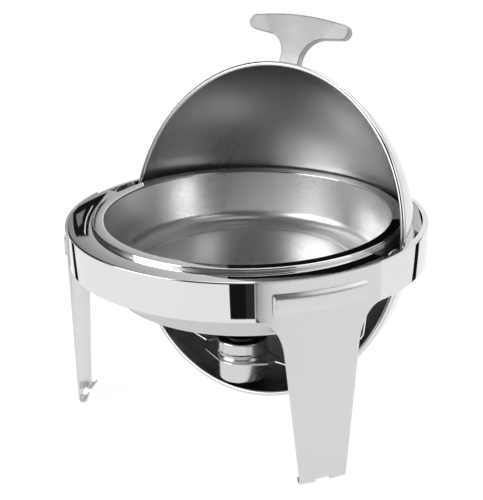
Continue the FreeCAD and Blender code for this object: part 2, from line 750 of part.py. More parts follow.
def fuel_can():
    """Press-top fuel can: plain body, recessed top and a raised neck round its open mouth."""
    floor = CUP_BOTTOM + CUP_SHEET + CAN_GAP
    path = [
        (0, floor, 0),
        (CAN_RADIUS, floor, 3.0),
        (CAN_RADIUS, CAN_TOP, 0.9),
        (CAN_RADIUS - 2.6, CAN_TOP, 0.9),
        (CAN_RADIUS - 2.9, CAN_TOP - 3.0, 1.0),
        (CAN_NECK_RADIUS, CAN_TOP - 3.0, 1.0),
        (CAN_NECK_RADIUS, CAN_NECK_TOP, 0.9),
        (CAN_NECK_RADIUS - 2.2, CAN_NECK_TOP, 0.9),
        (CAN_NECK_RADIUS - 2.2, CAN_TOP - 6.0, 0),
    ]
    can = turned(offset_sheet(path, CAN_SHEET))
    can.translate(CUP_CENTRE)
    return can


def lid_pieces():
    """Every piece that turns with the lid, by node name, in its open place."""
    rivets = closed_rivets()
    rivets += [mirrored_x(rivet) for rivet in rivets]
    bush_end = ARM_INNER_X + ARM_SHEET + AXIAL_GAP
    bush = tube_along_x(ARM_INNER_X, bush_end, BUSH_RADIUS, SCREW_RADIUS + BUSH_CLEARANCE)
    arm = closed_arm()
    pieces = {
        "lid_dome": closed_dome(),
        "lid_rim_bead": closed_bead(),
        "lid_arm_right": arm,
        "lid_arm_left": mirrored_x(arm),
        "lid_arm_rivets": Part.Compound(rivets),
        "lid_pivot_bushes": Part.Compound([bush, mirrored_x(bush)]),
        "lid_handle": closed_handle(),
        "lid_handle_gasket": closed_gasket(),
        "lid_handle_screws": Part.Compound(closed_handle_screws()),
    }
    return {name: rolled_back(shape) for name, shape in pieces.items()}


def stand_pieces():
    """Every piece of the stand, by node name."""
    bracket = pivot_bracket()
    screw = pivot_screw()
    pieces = {
        "stand_ring": stand_ring(),
        "pan_hoop": pan_hoop(),
        "leg_studs": leg_studs(),
        "leg_nuts": leg_nuts(),
        "pivot_bracket_right": bracket,
        "pivot_bracket_left": mirrored_x(bracket),
        "pivot_screw_right": screw,
        "pivot_screw_left": mirrored_x(screw),
        "pivot_spacers": pivot_spacers(),
        "lid_stop_pins": stop_pins(),
        "cradle_wire": cradle_wire(),
    }
    for name, azimuth in LEG_AZIMUTHS.items():
        pieces[name] = leg(azimuth)
    return pieces


def loose_pieces():
    """The pieces that lift out, by node name."""
    return {
        "water_pan": water_pan(),
        "food_pan": food_pan(),
        "burner_cup": burner_cup(),
        "fuel_can": fuel_can(),
    }


def main():
    os.makedirs("parts", exist_ok=True)
    nodes = {**stand_pieces(), **lid_pieces(), **loose_pieces()}
    for name, shape in nodes.items():
        if not shape.isValid():
            print("not valid:", name)
        shape.exportStep("parts/" + name + ".step")
        print(name, len(shape.Solids), "solids", round(shape.Volume, 1), "mm3")


main()
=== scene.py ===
import bmesh
import bpy
import math
from mathutils import Matrix, Vector

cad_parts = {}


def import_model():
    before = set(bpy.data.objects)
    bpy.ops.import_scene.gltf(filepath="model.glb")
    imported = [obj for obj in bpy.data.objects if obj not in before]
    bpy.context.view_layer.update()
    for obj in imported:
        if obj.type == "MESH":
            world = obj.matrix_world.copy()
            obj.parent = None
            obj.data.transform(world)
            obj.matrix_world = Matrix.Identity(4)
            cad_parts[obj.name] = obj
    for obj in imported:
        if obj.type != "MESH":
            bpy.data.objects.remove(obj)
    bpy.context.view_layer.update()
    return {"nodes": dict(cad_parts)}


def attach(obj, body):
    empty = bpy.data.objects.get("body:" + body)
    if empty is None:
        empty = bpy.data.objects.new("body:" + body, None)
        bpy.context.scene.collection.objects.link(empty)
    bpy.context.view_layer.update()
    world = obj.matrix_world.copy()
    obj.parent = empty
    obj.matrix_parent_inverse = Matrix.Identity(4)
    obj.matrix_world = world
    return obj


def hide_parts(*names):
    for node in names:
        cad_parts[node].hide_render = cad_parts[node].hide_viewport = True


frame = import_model()

MM = 0.001

# Shared sizes of the chafer, in millimetres, the same as the CAD model's
RING_R = 226.0
RING_TOP = 259.0
RING_SHEET = 1.2
BAND_HEIGHT = 49.0
BAND_LIP = 8.0
DECK_IN = 185.0
DECK_LIP = 9.0
SLOT_IN, SLOT_OUT = 196.8, 219.0
SLOT_START, SLOT_SWEEP = -6.0, 192.0
PIVOT_Z = 241.5
OPEN_ANGLE = 105.5
LID_RISE = 25.0
LID_RIM = 213.8
LID_DEPTH = 174.5
SPHERE_R = (LID_RIM**2 + LID_DEPTH**2) / (2 * LID_DEPTH)
SPHERE_Z = PIVOT_Z + LID_RISE + LID_DEPTH - SPHERE_R
LID_SHEET = 0.9
DOME_LOW = 26.5
BEAD_RING = 210.5
BEAD_R = 3.1
LEG_SHEET = 2.2
LEG_TOP_HALF = 79.0
FOOT_HALF, FOOT_HEIGHT = 29.8, 5.6
FOOT_WIDTH, FOOT_BEND = 11.2, 4.4
SHOULDER_HALF, SHOULDER_Z = 46.6, 168.0
PANEL_HALF, PANEL_LOW, PANEL_HIGH, PANEL_LIFT = 56.6, 221.7, 242.1, 2.4
NOTCH_SHARE = 0.3
PAN_SHEET = 1.0
CUP_SHEET = 1.0
CAN_SHEET = 0.8
CUP_X, CUP_Y = -7.5, -6.0


# ---------------------------------------------------------------- geometry helpers

def bend_points(points, steps=6):
    """An open (r, z, bend radius) path as plain points, with an arc at every bend."""
    result = []
    for index, (r, z, bend) in enumerate(points):
        if bend <= 0 or index in (0, len(points) - 1):
            result.append((r, z))
            continue
        here = Vector((r, z))
        back = (Vector(points[index - 1][:2]) - here).normalized()
        ahead = (Vector(points[index + 1][:2]) - here).normalized()
        half = back.angle(ahead) / 2
        reach = bend / math.tan(half)
        centre = here + (back + ahead).normalized() * (bend / math.sin(half))
        start = here + back * reach - centre
        end = here + ahead * reach - centre
        turn = start.angle_signed(end)
        for step in range(steps + 1):
            angle = -turn * step / steps
            c, s = math.cos(angle), math.sin(angle)
            result.append((centre.x + start.x * c - start.y * s, centre.y + start.x * s + start.y * c))
    return result


def sheet_loop(points, thickness, end_steps=3):
    """Closed section of a bent sheet to the left of an open path, with rounded ends."""
    flat = [Vector(p) for p in points]
    normals = []
    for a, b in zip(flat, flat[1:]):
        d = (b - a).normalized()
        normals.append(Vector((-d.y, d.x)))
    inner = []
    for index, point in enumerate(flat):
        first = normals[max(index - 1, 0)]
        second = normals[min(index, len(normals) - 1)]
        mitre = (first + second).normalized()
        inner.append(point + mitre * (thickness / max(mitre.dot(first), 0.5)))
    loop = [tuple(p) for p in flat]
    half = abs(thickness) / 2

    def rounded_end(outer, within, outward):
        middle = (outer + within) / 2
        across = outer - middle
        made = []
        for step in range(1, end_steps):
            angle = math.pi * step / end_steps
            made.append(tuple(middle + across * math.cos(angle) + outward * half * math.sin(angle)))
        return made

    last_out = (flat[-1] - flat[-2]).normalized()
    first_out = (flat[0] - flat[1]).normalized()
    loop += rounded_end(flat[-1] - last_out * half, inner[-1] - last_out * half, last_out)
    loop += [tuple(p) for p in reversed(inner)]
    if flat[0].x > 0.01:
        loop += list(reversed(rounded_end(flat[0] - first_out * half, inner[0] - first_out * half, first_out)))
    return loop


def finish_mesh(mesh, name, sharp_angle=38.0):
    for polygon in mesh.polygons:
        polygon.use_smooth = True
    mesh.set_sharp_from_angle(angle=math.radians(sharp_angle))
    obj = bpy.data.objects.new(name, mesh)
    bpy.context.scene.collection.objects.link(obj)
    return obj


def lathe(name, loop, start=0.0, sweep=360.0, segments=256, centre=(0.0, 0.0), close=True, caps=False):
    """Turns a section of (r, z) points about a vertical axis; UVs run along the turn and the section."""
    bm = bmesh.new()
    uv = bm.loops.layers.uv.new("UVMap")
    full = abs(sweep - 360.0) < 1e-6
    count = segments if full else segments + 1
    lengths = [0.0]
    for a, b in zip(loop, loop[1:] + loop[:1]):
        lengths.append(lengths[-1] + math.dist(a, b))
    columns = []
    for step in range(count):
        angle = math.radians(start + sweep * step / segments)
        columns.append([
            None if r < 0.01 else bm.verts.new((
                (centre[0] + r * math.cos(angle)) * MM, (centre[1] + r * math.sin(angle)) * MM, z * MM))
            for r, z in loop
        ])
    poles = {i: bm.verts.new((centre[0] * MM, centre[1] * MM, z * MM))
             for i, (r, z) in enumerate(loop) if r < 0.01}
    rows = len(loop) if close else len(loop) - 1
    for step in range(segments):
        now, after = columns[step], columns[(step + 1) % count]
        for i in range(rows):
            j = (i + 1) % len(loop)
            if i in poles and j in poles:
                continue
            corners = [(now[i] or poles.get(i), step, i), (after[i] or poles.get(i), step + 1, i),
                       (after[j] or poles.get(j), step + 1, i + 1), (now[j] or poles.get(j), step, i + 1)]
            unique = []
            for corner in corners:
                if corner[0] not in [u[0] for u in unique]:
                    unique.append(corner)
            face = bm.faces.new([u[0] for u in unique])
            for corner_loop, (_, column, row) in zip(face.loops, unique):
                turn = math.radians(sweep) * column / segments
                corner_loop[uv].uv = (turn * 0.2, lengths[row] * MM)
    if caps and not full:
        for column in (columns[0], columns[-1]):
            bm.faces.new(column)
    bmesh.ops.recalc_face_normals(bm, faces=bm.faces)
    mesh = bpy.data.meshes.new(name)
    bm.to_mesh(mesh)
    bm.free()
    return finish_mesh(mesh, name)


def apply_modifiers(obj, sharp_angle=38.0):
    """Keeps the result of an object's modifiers as its mesh."""
    bpy.context.view_layer.update()
    shaped = obj.evaluated_get(bpy.context.evaluated_depsgraph_get())
    mesh = bpy.data.meshes.new_from_object(shaped)
    obj.modifiers.clear()
    obj.data = mesh
    for polygon in mesh.polygons:
        polygon.use_smooth = True
    mesh.set_sharp_from_angle(angle=math.radians(sharp_angle))
    return obj


def join(name, objects):
    """One mesh from several."""
    bm = bmesh.new()
    for obj in objects:
        bm.from_mesh(obj.data)
    mesh = bpy.data.meshes.new(name)
    bm.to_mesh(mesh)
    bm.free()
    for obj in objects:
        bpy.data.objects.remove(obj)
    obj = bpy.data.objects.new(name, mesh)
    bpy.context.scene.collection.objects.link(obj)
    return obj


def rolled_back(obj):
    """Takes a lid piece from its closed place to the open stop."""
    pivot = Vector((0, 0, PIVOT_Z * MM))
    turn = Matrix.Rotation(math.radians(-OPEN_ANGLE), 4, "X")
    obj.data.transform(Matrix.Translation(pivot) @ turn @ Matrix.Translation(-pivot))
    return obj


def place(obj, body, nodes, material):
    """Rides a finished piece on its body in place of its CAD nodes."""
    obj.data.materials.clear()
    obj.data.materials.append(material)
    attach(obj, body)
    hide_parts(*nodes)
    return obj


# ---------------------------------------------------------------- materials

def steel(name, colour, roughness, grain=(0, 0, 0), grain_rough=0.0, grain_bump=0.0, grain_tint=0.0,
          coords="UV", waviness=0.0, wave_scale=14.0, smudge=0.0, edge_highlight=0.0, anisotropy=0.0):
    """Stainless steel: brushed grain, faint smudges, slow waviness and a painted highlight that makes convex edges
    brighter.
    """
    mat = bpy.data.materials.new(name)
    mat.use_nodes = True
    tree = mat.node_tree
    nodes, links = tree.nodes, tree.links
    shader = nodes["Principled BSDF"]
    shader.inputs["Metallic"].default_value = 1.0
    if anisotropy:
        shader.inputs["Anisotropic"].default_value = anisotropy
    where = nodes.new("ShaderNodeTexCoord")

    def noise(source, scale, stretch, detail, rough=0.5):
        mapping = nodes.new("ShaderNodeMapping")
        mapping.inputs["Scale"].default_value = stretch
        links.new(where.outputs[source], mapping.inputs["Vector"])
        texture = nodes.new("ShaderNodeTexNoise")
        texture.inputs["Scale"].default_value = scale
        texture.inputs["Detail"].default_value = detail
        texture.inputs["Roughness"].default_value = rough
        links.new(mapping.outputs["Vector"], texture.inputs["Vector"])
        return texture.outputs["Fac"]

    def spread(value, low, high):
        remap = nodes.new("ShaderNodeMapRange")
        remap.inputs["From Min"].default_value = 0.3
        remap.inputs["From Max"].default_value = 0.7
        remap.inputs["To Min"].default_value = low
        remap.inputs["To Max"].default_value = high
        links.new(value, remap.inputs["Value"])
        return remap.outputs["Result"]

    def combine(operation, a, b):
        node = nodes.new("ShaderNodeMath")
        node.operation = operation
        for socket, value in zip(node.inputs, (a, b)):
            if isinstance(value, (int, float)):
                socket.default_value = value
            else:
                links.new(value, socket)
        return node.outputs[0]

    cloud = noise("Object", 9.0, (1, 1, 1), 4.0, 0.55)
    brush = noise(coords, 1.0, grain, 3.0, 0.6) if any(grain) else None
    rough = spread(cloud, roughness * (1 - smudge), roughness * (1 + smudge))
    tint = spread(cloud, 0.985 - smudge * 0.04, 1.0)
    if brush is not None:
        rough = combine("ADD", rough, spread(brush, -grain_rough, grain_rough))
        tint = combine("MULTIPLY", tint, spread(brush, 1.0 - grain_tint, 1.0 + grain_tint * 0.3))
    # Painted highlight: convex edges, found by their pointiness, get a brighter colour.
    if edge_highlight:
        geometry = nodes.new("ShaderNodeNewGeometry")
        edge = nodes.new("ShaderNodeMapRange")
        edge.inputs["From Min"].default_value = 0.5
        edge.inputs["From Max"].default_value = 0.6
        edge.inputs["To Min"].default_value = 0.0
        edge.inputs["To Max"].default_value = edge_highlight
        links.new(geometry.outputs["Pointiness"], edge.inputs["Value"])
        tint = combine("ADD", tint, edge.outputs["Result"])
    links.new(combine("MAXIMUM", rough, 0.015), shader.inputs["Roughness"])
    mix = nodes.new("ShaderNodeMix")
    mix.data_type = "RGBA"
    mix.blend_type = "MULTIPLY"
    mix.inputs["Factor"].default_value = 1.0
    mix.inputs["A"].default_value = (*colour, 1.0)
    grey = nodes.new("ShaderNodeCombineColor")
    for channel in ("Red", "Green", "Blue"):
        links.new(tint, grey.inputs[channel])
    links.new(grey.outputs["Color"], mix.inputs["B"])
    links.new(mix.outputs["Result"], shader.inputs["Base Color"])
    normal = None
    if brush is not None and grain_bump:
        bump = nodes.new("ShaderNodeBump")
        bump.inputs["Strength"].default_value = grain_bump
        bump.inputs["Distance"].default_value = 0.00006
        links.new(brush, bump.inputs["Height"])
        normal = bump.outputs["Normal"]
    if waviness:
        slow = nodes.new("ShaderNodeBump")
        slow.inputs["Strength"].default_value = waviness
        slow.inputs["Distance"].default_value = 0.0008
        links.new(noise("Object", wave_scale, (1, 1, 1), 1.0), slow.inputs["Height"])
        if normal is not None:
            links.new(normal, slow.inputs["Normal"])
        normal = slow.outputs["Normal"]
    if normal is not None:
        links.new(normal, shader.inputs["Normal"])
    return mat


def dull(name, colour, roughness, speckle):
    """Rubber and plastic: a fine mottled surface."""
    mat = bpy.data.materials.new(name)
    mat.use_nodes = True
    nodes, links = mat.node_tree.nodes, mat.node_tree.links
    shader = nodes["Principled BSDF"]
    where = nodes.new("ShaderNodeTexCoord")
    texture = nodes.new("ShaderNodeTexNoise")
    texture.inputs["Scale"].default_value = 900.0
    links.new(where.outputs["Object"], texture.inputs["Vector"])
    ramp = nodes.new("ShaderNodeValToRGB")
    ramp.color_ramp.elements[0].position = 0.3
    ramp.color_ramp.elements[1].position = 0.7
    ramp.color_ramp.elements[0].color = (*[c * (1 - speckle) for c in colour], 1)
    ramp.color_ramp.elements[1].color = (*[min(c * (1 + speckle), 1) for c in colour], 1)
    links.new(texture.outputs["Fac"], ramp.inputs["Fac"])
    links.new(ramp.outputs["Color"], shader.inputs["Base Color"])
    shader.inputs["Roughness"].default_value = roughness
    bump = nodes.new("ShaderNodeBump")
    bump.inputs["Strength"].default_value = 0.3
    bump.inputs["Distance"].default_value = 0.0002
    links.new(texture.outputs["Fac"], bump.inputs["Height"])
    links.new(bump.outputs["Normal"], shader.inputs["Normal"])
    return mat


mirror = steel("ring_mirror_steel", (0.70, 0.70, 0.71), 0.035, grain=(3, 420, 3), grain_rough=0.012,
               grain_bump=0.03, waviness=0.10, smudge=0.35, edge_highlight=0.12)
leg_satin = steel("leg_satin_steel", (0.63, 0.63, 0.64), 0.27, grain=(2600, 26, 1), grain_rough=0.02,
                  grain_bump=0.02, grain_tint=0.012, waviness=0.12, wave_scale=9.0, smudge=0.12, edge_highlight=0.15)
dome_outside = steel("dome_polished_steel", (0.70, 0.70, 0.71), 0.07, grain=(2, 700, 2), grain_rough=0.02,
                     grain_bump=0.05, waviness=0.08, smudge=0.3, edge_highlight=0.1)
# The inside of the dome is the same sheet as the outside but gets a darker colour (0.50 against 0.70): painted
# shade for the hollow of the dome. Its rougher brushed grain is real.
dome_inside = steel("dome_inside_brushed_steel_painted_shade", (0.50, 0.492, 0.50), 0.33, grain=(5, 1100, 1), grain_rough=0.06,
                    grain_bump=0.2, grain_tint=0.14, waviness=0.1, smudge=0.2, anisotropy=0.4)
pan_satin = steel("pan_satin_steel", (0.84, 0.84, 0.845), 0.30, grain=(3, 1600, 1), grain_rough=0.02,
                  grain_bump=0.025, grain_tint=0.02, waviness=0.14, wave_scale=7.0, smudge=0.2, edge_highlight=0.1)
handle_satin = steel("handle_cast_steel", (0.38, 0.38, 0.385), 0.38, grain=(900, 900, 900), grain_rough=0.03,
                     grain_bump=0.06, grain_tint=0.03, coords="Object", smudge=0.25, edge_highlight=0.25)
rim_polished = steel("pan_rim_polished_steel", (0.72, 0.72, 0.73), 0.08, grain=(3, 1600, 1), grain_rough=0.01,
                     grain_bump=0.02, grain_tint=0.02, waviness=0.06, smudge=0.3, edge_highlight=0.1)
# The water pan is the food pan's satin steel made darker (0.56 against 0.84): painted shade for the pan that sits
# under the food pan.
pan_under = steel("water_pan_steel_painted_shade", (0.56, 0.56, 0.565), 0.30, grain=(3, 1600, 1), grain_rough=0.03,
                  grain_bump=0.07, grain_tint=0.03, smudge=0.2, edge_highlight=0.1)
cup_polished = steel("cup_polished_steel", (0.66, 0.66, 0.67), 0.27, grain=(2, 900, 1), grain_rough=0.03,
                     grain_bump=0.12, grain_tint=0.04, smudge=0.3, edge_highlight=0.15)
hidden_satin = steel("bracket_satin_steel", (0.62, 0.62, 0.63), 0.30, grain=(60, 900, 900), grain_rough=0.06,
                     grain_bump=0.2, grain_tint=0.06, coords="Object", smudge=0.25, edge_highlight=0.15)
bright_zinc = steel("fastener_zinc_steel", (0.66, 0.66, 0.67), 0.20, grain=(500, 500, 500), grain_rough=0.06,
                    grain_bump=0.2, grain_tint=0.08, coords="Object", smudge=0.35, edge_highlight=0.2)
bright_wire = steel("wire_bright_steel", (0.80, 0.80, 0.81), 0.12, grain=(300, 300, 300), grain_rough=0.03,
                    grain_bump=0.1, grain_tint=0.04, coords="Object", smudge=0.3, edge_highlight=0.1)
# The fuel can is given a dark colour (0.10) all over.
can_tin = steel("can_dark_steel", (0.10, 0.10, 0.10), 0.32, grain=(2, 500, 1), grain_rough=0.05,
                grain_bump=0.15, grain_tint=0.05, smudge=0.3, edge_highlight=0.15)
black_rubber = dull("gasket_black_rubber", (0.03, 0.03, 0.03), 0.75, 0.35)
white_plastic = dull("bush_white_plastic", (0.80, 0.80, 0.78), 0.45, 0.04)


# ---------------------------------------------------------------- stand

def ring_mesh():
    """Band, rolled lip and deck; the deck is in two parts where the crescent slot runs."""
    bottom = RING_TOP - BAND_HEIGHT
    wall = [(RING_R - BAND_LIP, bottom, 0), (RING_R, bottom, 2.5), (RING_R, RING_TOP, 2.2), (SLOT_OUT, RING_TOP, 0)]
    inner = [(SLOT_IN, RING_TOP, 0), (DECK_IN, RING_TOP, 2.2), (DECK_IN, RING_TOP - DECK_LIP, 0)]
    whole = sheet_loop(bend_points(wall[:-1] + inner[1:]), RING_SHEET)
    front = lathe("ring_front", whole, SLOT_START + SLOT_SWEEP, 360 - SLOT_SWEEP, 150, caps=True)
    outer_part = lathe("ring_back", sheet_loop(bend_points(wall), RING_SHEET), SLOT_START, SLOT_SWEEP, 160)
    inner_part = lathe("ring_inner", sheet_loop(bend_points(inner), RING_SHEET), SLOT_START, SLOT_SWEEP, 160)
    return join("stand_ring_band", [front, outer_part, inner_part])


place(ring_mesh(), "stand", ["stand_ring"], mirror)

hoop_path = [(196.0, 235.8, 0), (196.0, 257.7, 2.0), (190.0, 257.7, 0)]
hoop = lathe("deck_hoop", sheet_loop(bend_points(hoop_path), RING_SHEET))
place(hoop, "stand", ["pan_hoop"], hidden_satin)


def leg_rows():
    """Half width, outer radius and height down the middle of a leg, from the top edge to the curled foot."""
    outer = RING_R + LEG_SHEET
    heights = (259.6, 257.0, 250.0, 246.0, 244.2, 242.0, 236.0, 228.0, 221.8, 219.6, 217.0)
    rows = [(LEG_TOP_HALF, outer, z) for z in heights]
    foot, shoulder = Vector((FOOT_HALF, FOOT_HEIGHT)), Vector((SHOULDER_HALF, SHOULDER_Z))
    pull_up = shoulder + (shoulder - foot).normalized() * 25
    poles = [Vector((LEG_TOP_HALF, 212.0)), Vector((61.0, 212.0)), pull_up, shoulder]
    for step in range(23):
        t = step / 22
        p = (poles[0] * (1 - t) ** 3 + poles[1] * 3 * t * (1 - t) ** 2
             + poles[2] * 3 * t * t * (1 - t) + poles[3] * t**3)
        rows.append((p.x, outer, p.y))
    for step in range(1, 25):
        p = shoulder.lerp(foot, step / 24)
        rows.append((p.x, outer, p.y))
    inner = outer - FOOT_WIDTH
    curl = bend_points([
        (outer, FOOT_HEIGHT, 0), (outer, 0.0, FOOT_BEND), (inner, 0.0, FOOT_BEND), (inner, FOOT_HEIGHT, 0)], 8)
    return rows, [(FOOT_HALF, r, z) for r, z in curl[1:]]


def leg_mesh(name, azimuth):
    """Pressed sheet leg, wrapped on the ring, with its raised panel, notch and curled feet."""
    rows, curl = leg_rows()
    # Shares of the half width where points stand; the close ones are the sides of the raised panel
    inner_t = [0.0, 0.114, 0.228, 0.3423, 0.43, 0.52, 0.62, 0.7, 0.7152, 0.7405, 0.7665, 0.83, 0.9, 0.96, 1.0]
    columns = [-t for t in reversed(inner_t[1:])] + inner_t
    notch = [i for i, t in enumerate(columns) if abs(t) < NOTCH_SHARE]
    bm = bmesh.new()
    uv = bm.loops.layers.uv.new("UVMap")

    def vertex(t, half, radius, z):
        s = t * half
        lift = 0.0
        if abs(s) < PANEL_HALF and PANEL_LOW < z < PANEL_HIGH and radius > RING_R:
            lift = PANEL_LIFT
        angle = math.radians(azimuth) + s / RING_R
        r = (radius + lift) * MM
        v = bm.verts.new((r * math.cos(angle), r * math.sin(angle), z * MM))
        return v, (s * MM, z * MM + (RING_R + LEG_SHEET - radius) * MM)

    grid = [[vertex(t, *row) for t in columns] for row in rows]
    low = [[None if i in notch else vertex(t, *row) for i, t in enumerate(columns)] for row in curl]
    grid += low
    for upper, lower in zip(grid, grid[1:]):
        for i in range(len(columns) - 1):
            quad = [upper[i], lower[i], lower[i + 1], upper[i + 1]]
            if any(corner is None for corner in quad):
                continue
            face = bm.faces.new([corner[0] for corner in quad])
            for corner_loop, corner in zip(face.loops, quad):
                corner_loop[uv].uv = corner[1]
    bmesh.ops.recalc_face_normals(bm, faces=bm.faces)
    mesh = bpy.data.meshes.new(name)
    bm.to_mesh(mesh)
    bm.free()
    outward = Vector((math.cos(math.radians(azimuth)), math.sin(math.radians(azimuth)), 0))
    if mesh.polygons[0].normal.dot(outward) < 0:
        mesh.flip_normals()
    leg = finish_mesh(mesh, name)
    solid = leg.modifiers.new("sheet", "SOLIDIFY")
    solid.thickness = LEG_SHEET * MM
    solid.offset = -1.0
    solid.use_even_offset = True
    soft = leg.modifiers.new("edge", "BEVEL")
    soft.width = 0.45 * MM
    soft.segments = 2
    soft.limit_method = "ANGLE"
    soft.angle_limit = math.radians(50)
    return apply_modifiers(leg, 50.0)


for leg_node, leg_azimuth in (("leg_front_right", 330.0), ("leg_front_left", 210.0), ("leg_back", 90.0)):
    place(leg_mesh(leg_node + "_pressed", leg_azimuth), "stand", [leg_node], leg_satin)


# ---------------------------------------------------------------- lid

def dome_profile(radius, low, steps=64):
    """(r, z) points of the closed dome from its rim to its pole."""
    first = math.asin((PIVOT_Z + low - SPHERE_Z) / radius)
    points = []
    for step in range(steps + 1):
        angle = first + (math.pi / 2 - first) * step / steps
        points.append((max(radius * math.cos(angle), 0.0), SPHERE_Z + radius * math.sin(angle)))
    points[-1] = (0.0, SPHERE_Z + radius)
    return points


outside = rolled_back(lathe("lid_dome_outside", dome_profile(SPHERE_R, DOME_LOW), close=False))
place(outside, "lid", [], dome_outside)
inside = rolled_back(lathe("lid_dome_inside", dome_profile(SPHERE_R - LID_SHEET, DOME_LOW), close=False))
inside.data.flip_normals()
place(inside, "lid", ["lid_dome"], dome_inside)

bead_loop = []
for step in range(20):
    angle = 2 * math.pi * step / 20
    bead_loop.append((BEAD_RING + BEAD_R * math.cos(angle), PIVOT_Z + LID_RISE + BEAD_R * math.sin(angle)))
bead = rolled_back(lathe("lid_rolled_edge", bead_loop))
place(bead, "lid", ["lid_rim_bead"], mirror)


# ---------------------------------------------------------------- pans, cup and can

def pan_mesh(name, path):
    return lathe(name, sheet_loop(bend_points(path, 10), -PAN_SHEET))


water = pan_mesh("water_pan_pressed", [
    (0, 168.2, 0), (172.4, 168.2, 13.0), (182.7, 261.3, 2.4), (196.0, 261.3, 1.1), (196.0, 259.0, 0)])
place(water, "water_pan", ["water_pan"], pan_under)
food_loop = sheet_loop(bend_points([
    (0, 193.0, 0), (137.4, 193.0, 1.6), (139.4, 194.2, 1.6), (170.6, 194.2, 18.0),
    (180.2, 263.6, 2.4), (195.4, 263.6, 1.1), (195.4, 261.3, 0)], 10), -PAN_SHEET)

# The flange is polished and the bowl is satin, so they are two pieces, parted just under the flange
RIM_LOW = 261.0
rim = [i for i, (r, z) in enumerate(food_loop) if z > RIM_LOW]
food_rim = lathe("food_pan_rim", food_loop[rim[0]:rim[-1] + 1], close=False)
place(food_rim, "food_pan", [], rim_polished)
food_bowl = join("food_pan_pressed", [
    lathe("food_pan_under", food_loop[:rim[0] + 1], close=False),
    lathe("food_pan_bowl", food_loop[rim[-1]:], close=False)])
place(food_bowl, "food_pan", ["food_pan"], pan_satin)

cup = lathe("burner_cup_turned", sheet_loop(bend_points([
    (0, 39.5, 0), (32.3, 39.5, 5.0), (32.3, 67.0, 0.8), (31.2, 68.4, 0.5), (34.0, 71.6, 1.3), (31.7, 75.2, 0.8),
    (33.3, 78.4, 1.3), (32.3, 81.0, 0.8), (32.3, 92.6, 0.8), (33.1, 94.0, 0.4), (32.5, 95.0, 0)]), CUP_SHEET),
    segments=96, centre=(CUP_X, CUP_Y))
place(cup, "burner_cup", ["burner_cup"], cup_polished)
can = lathe("fuel_can_pressed", sheet_loop(bend_points([
    (0, 40.8, 0), (29.7, 40.8, 3.0), (29.7, 93.4, 1.2), (27.1, 93.4, 0.9), (26.8, 90.4, 1.0), (22.0, 90.4, 1.0),
    (22.0, 98.3, 1.1), (19.8, 98.3, 1.1), (19.8, 87.4, 0)]), CAN_SHEET), segments=96, centre=(CUP_X, CUP_Y))
place(can, "fuel_can", ["fuel_can"], can_tin)


# ---------------------------------------------------------------- CAD pieces that keep their shape

kept = {
    "leg_studs": bright_zinc, "leg_nuts": bright_zinc, "pivot_bracket_right": hidden_satin,
    "pivot_bracket_left": hidden_satin, "pivot_screw_right": bright_zinc, "pivot_screw_left": bright_zinc,
    "pivot_spacers": bright_zinc, "lid_stop_pins": bright_zinc, "cradle_wire": bright_wire,
    "lid_arm_right": hidden_satin, "lid_arm_left": hidden_satin, "lid_arm_rivets": bright_zinc,
    "lid_pivot_bushes": white_plastic, "lid_handle": handle_satin, "lid_handle_gasket": black_rubber,
    "lid_handle_screws": bright_zinc,
}
for node, material in kept.items():
    for material_slot in frame["nodes"][node].material_slots:
        material_slot.link = "OBJECT"
        material_slot.material = material


# ---------------------------------------------------------------- camera

def aim_camera():
    """The photograph's viewpoint: right of the front, a little above, through a long lens."""
    swing, lift, distance = 0.6693, 0.3315, 1.675125
    yaw, pitch, roll = -0.00495, -0.02535, -0.01935
    around = Vector((math.sin(swing) * math.cos(lift), -math.cos(swing) * math.cos(lift), math.sin(lift)))
    forward = -around
    right = forward.cross(Vector((0, 0, 1))).normalized()
    up = right.cross(forward)
    forward = (forward + math.tan(yaw) * right + math.tan(pitch) * up).normalized()
    right = forward.cross(Vector((0, 0, 1))).normalized()
    up = right.cross(forward)
    side = math.cos(roll) * right + math.sin(roll) * up
    top = -math.sin(roll) * right + math.cos(roll) * up
    data = bpy.data.cameras.new("camera")
    data.sensor_width = 36.0
    data.lens = 95.76
    data.clip_start = 0.05
    data.clip_end = 60.0
    camera = bpy.data.objects.new("camera", data)
    bpy.context.scene.collection.objects.link(camera)
    camera.matrix_world = Matrix((
        (side.x, top.x, -forward.x, around.x * distance),
        (side.y, top.y, -forward.y, around.y * distance),
        (side.z, top.z, -forward.z, around.z * distance + RING_TOP * MM),
        (0, 0, 0, 1)))
    bpy.context.scene.camera = camera


aim_camera()


# ---------------------------------------------------------------- light, floor and cards

def plain_material(name, colour, roughness=0.9, glow=0.0):
    mat = bpy.data.materials.new(name)
    mat.use_nodes = True
    shader = mat.node_tree.nodes["Principled BSDF"]
    shader.inputs["Base Color"].default_value = (*colour, 1)
    shader.inputs["Roughness"].default_value = roughness
    shader.inputs["Specular IOR Level"].default_value = 0.0
    if glow:
        shader.inputs["Emission Color"].default_value = (1, 1, 1, 1)
        shader.inputs["Emission Strength"].default_value = glow
    return mat


def floor():
    bm = bmesh.new()
    bmesh.ops.create_circle(bm, cap_ends=True, radius=9.0, segments=96)
    mesh = bpy.data.meshes.new("studio_floor")
    bm.to_mesh(mesh)
    bm.free()
    obj = bpy.data.objects.new("studio_floor", mesh)
    bpy.context.scene.collection.objects.link(obj)
    mesh.materials.append(plain_material("floor_white", (0.16, 0.16, 0.16), 0.9, 0.93))


